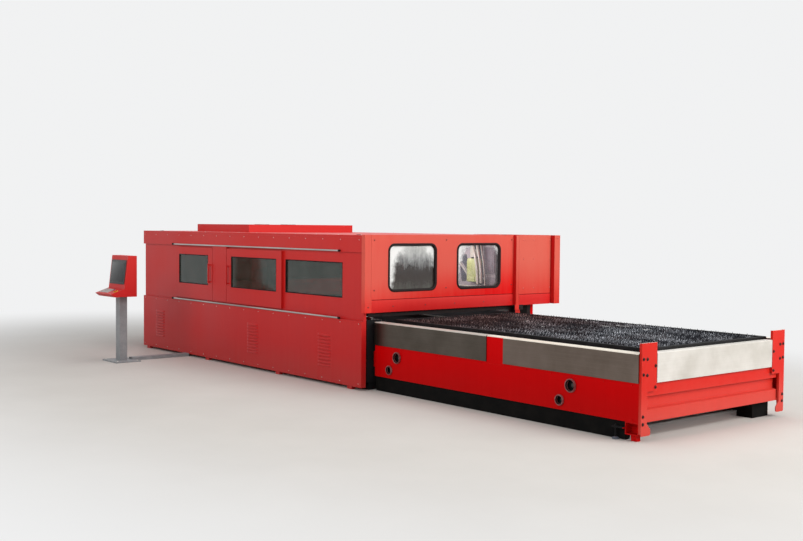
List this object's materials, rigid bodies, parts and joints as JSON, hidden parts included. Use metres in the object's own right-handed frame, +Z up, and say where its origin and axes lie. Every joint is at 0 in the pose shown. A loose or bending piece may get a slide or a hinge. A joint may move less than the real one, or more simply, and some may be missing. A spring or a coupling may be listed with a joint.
{
  "type": "fiber laser cutting machine",
  "caption": "Enclosed fiber laser cutting machine for flat sheet, with a gantry inside a windowed cabin, a lifting exchange table with slatted pallets, and an operator console",
  "frame": {"origin": "on the floor under the centre of the machine's box", "axes": "+X runs along the machine toward the free end of the exchange table, +Y across it away from the operator console, +Z up"},
  "size_m": [11.024, 4.895, 2.11],
  "materials": {
    "red_paint": "semi-gloss powder coat",
    "black_paint": "matt",
    "grey_paint": "semi-matt",
    "stainless": "brushed",
    "bright_steel": "machined",
    "dark_steel": "scaled and spattered",
    "black_rubber": "matt",
    "glass": "dark tinted, glossy",
    "black_plastic": "satin",
    "red_plastic": "glossy"
  },
  "bodies": {
    "machine": {"table_frame": "red_paint", "end_beam": "red_paint", "post_near": "red_paint", "post_far": "red_paint", "foot_bracket": "red_paint", "hood_front": "red_paint", "side_box": "red_paint", "cabin_near": "red_paint", "cabin_far": "red_paint", "cabin_rear": "red_paint", "cabin_roof": "red_paint", "rear_cabinet": "red_paint", "table_plinth": "black_paint", "end_foot": "black_paint", "filler_panel": "black_paint", "trim_near_front": "stainless", "trim_near_rear": "stainless", "trim_far": "stainless", "end_trim": "stainless", "bed": "grey_paint", "lift_gearmotor": "grey_paint", "console_stand": "grey_paint", "bearing_lift_front": "bright_steel", "bearing_lift_rear": "bright_steel", "bearing_chain_front": "bright_steel", "bearing_chain_rear": "bright_steel", "x_guide_near": "bright_steel", "x_guide_far": "bright_steel", "bed_rail_near": "bright_steel", "bed_rail_far": "bright_steel", "drive_chain": "dark_steel", "hood_seal_1": "black_rubber", "hood_seal_2": "black_rubber", "entry_curtain": "black_rubber", "hood_glass_1": "glass", "hood_glass_2": "glass", "side_glass_fixed": "glass"},
    "lift": {"lift_frame": "red_paint"},
    "lever_front": {"lift_shaft_front": "bright_steel"},
    "lever_rear": {"lift_shaft_rear": "bright_steel"},
    "sprocket_front": {"chain_shaft_front": "bright_steel"},
    "sprocket_rear": {"chain_shaft_rear": "bright_steel"},
    "upper_pallet": {"pallet_upper": "dark_steel"},
    "upper_wheels_front": {"wheelset_upper_front": "bright_steel"},
    "upper_wheels_rear": {"wheelset_upper_rear": "bright_steel"},
    "lower_pallet": {"pallet_lower": "dark_steel"},
    "lower_wheels_front": {"wheelset_lower_front": "bright_steel"},
    "lower_wheels_rear": {"wheelset_lower_rear": "bright_steel"},
    "gantry_body": {"gantry": "red_paint"},
    "carriage": {"y_carriage": "grey_paint"},
    "head": {"z_slide": "bright_steel", "cutting_head": "black_plastic"},
    "front_door": {"door_front": "red_paint", "door_front_glass": "glass"},
    "rear_door": {"door_rear": "red_paint", "door_rear_glass": "glass"},
    "near_cabinet_door": {"cabinet_door_near": "red_paint"},
    "far_cabinet_door": {"cabinet_door_far": "red_paint"},
    "console": {"console_head": "red_paint"},
    "button": {"stop_button": "red_plastic"}
  },
  "joints": [
    {"name": "lift_travel", "type": "slide", "parent": "machine", "child": "lift", "axis": [0, 0, 1], "range_m": [0, 0.25]},
    {"name": "lever_front_turn", "type": "hinge", "parent": "machine", "child": "lever_front", "pos_m": [1.716, -0.8275, 0.46], "axis": [0, 1, 0], "range_deg": [-49.45, 0.2]},
    {"name": "lever_rear_turn", "type": "hinge", "parent": "machine", "child": "lever_rear", "pos_m": [4.588, -0.8275, 0.46], "axis": [0, 1, 0], "range_deg": [-0.2, 49.45]},
    {"name": "sprocket_front_turn", "type": "hinge", "parent": "machine", "child": "sprocket_front", "pos_m": [1.563, -0.8275, 0.29], "axis": [0, 1, 0], "continuous": true},
    {"name": "sprocket_rear_turn", "type": "hinge", "parent": "machine", "child": "sprocket_rear", "pos_m": [4.437, -0.8275, 0.29], "axis": [0, 1, 0], "continuous": true},
    {"name": "upper_pallet_travel", "type": "slide", "parent": "lift", "child": "upper_pallet", "axis": [1, 0, 0], "range_m": [-4.2, 0]},
    {"name": "upper_wheels_front_roll", "type": "hinge", "parent": "upper_pallet", "child": "upper_wheels_front", "pos_m": [1.748, -0.8275, 0.785], "axis": [0, 1, 0], "continuous": true},
    {"name": "upper_wheels_rear_roll", "type": "hinge", "parent": "upper_pallet", "child": "upper_wheels_rear", "pos_m": [5.048, -0.8275, 0.785], "axis": [0, 1, 0], "continuous": true},
    {"name": "lower_pallet_travel", "type": "slide", "parent": "lift", "child": "lower_pallet", "axis": [1, 0, 0], "range_m": [-4.2, 0]},
    {"name": "lower_wheels_front_roll", "type": "hinge", "parent": "lower_pallet", "child": "lower_wheels_front", "pos_m": [1.748, -0.8275, 0.535], "axis": [0, 1, 0], "continuous": true},
    {"name": "lower_wheels_rear_roll", "type": "hinge", "parent": "lower_pallet", "child": "lower_wheels_rear", "pos_m": [5.048, -0.8275, 0.535], "axis": [0, 1, 0], "continuous": true},
    {"name": "gantry_travel", "type": "slide", "parent": "machine", "child": "gantry_body", "axis": [1, 0, 0], "range_m": [-0.8, 3.2]},
    {"name": "carriage_travel", "type": "slide", "parent": "gantry_body", "child": "carriage", "axis": [0, 1, 0], "range_m": [-0.325, 1.675]},
    {"name": "head_travel", "type": "slide", "parent": "carriage", "child": "head", "axis": [0, 0, -1], "range_m": [0, 0.2]},
    {"name": "front_door_travel", "type": "slide", "parent": "machine", "child": "front_door", "axis": [1, 0, 0], "range_m": [0, 1.4]},
    {"name": "rear_door_travel", "type": "slide", "parent": "machine", "child": "rear_door", "axis": [-1, 0, 0], "range_m": [0, 1.1]},
    {"name": "near_cabinet_door_swing", "type": "hinge", "parent": "machine", "child": "near_cabinet_door", "pos_m": [-5.497, -0.6155, 0.12], "axis": [0, 0, 1], "range_deg": [0, 110]},
    {"name": "far_cabinet_door_swing", "type": "hinge", "parent": "machine", "child": "far_cabinet_door", "pos_m": [-5.497, 1.5605, 0.12], "axis": [0, 0, 1], "range_deg": [-110, 0]},
    {"name": "console_swivel", "type": "hinge", "parent": "machine", "child": "console", "pos_m": [-3.352, -2.1475, 1], "axis": [0, 0, 1], "range_deg": [-60, 60]},
    {"name": "stop_button_press", "type": "slide", "parent": "console", "child": "button", "axis": [0, 0.3227, -0.9465], "range_m": [0, 0.006], "stiffness_N_per_m": 1500, "springref_m": -0.004}
  ],
  "couplings": [
    {"joint": "lever_front_turn", "follows": "lift_travel", "rad_per_m": -3.4382},
    {"joint": "lever_rear_turn", "follows": "lift_travel", "rad_per_m": 3.4382},
    {"joint": "sprocket_rear_turn", "follows": "sprocket_front_turn", "ratio": 1},
    {"joint": "upper_wheels_front_roll", "follows": "upper_pallet_travel", "rad_per_m": 25},
    {"joint": "upper_wheels_rear_roll", "follows": "upper_pallet_travel", "rad_per_m": 25},
    {"joint": "lower_wheels_front_roll", "follows": "lower_pallet_travel", "rad_per_m": 25},
    {"joint": "lower_wheels_rear_roll", "follows": "lower_pallet_travel", "rad_per_m": 25}
  ]
}
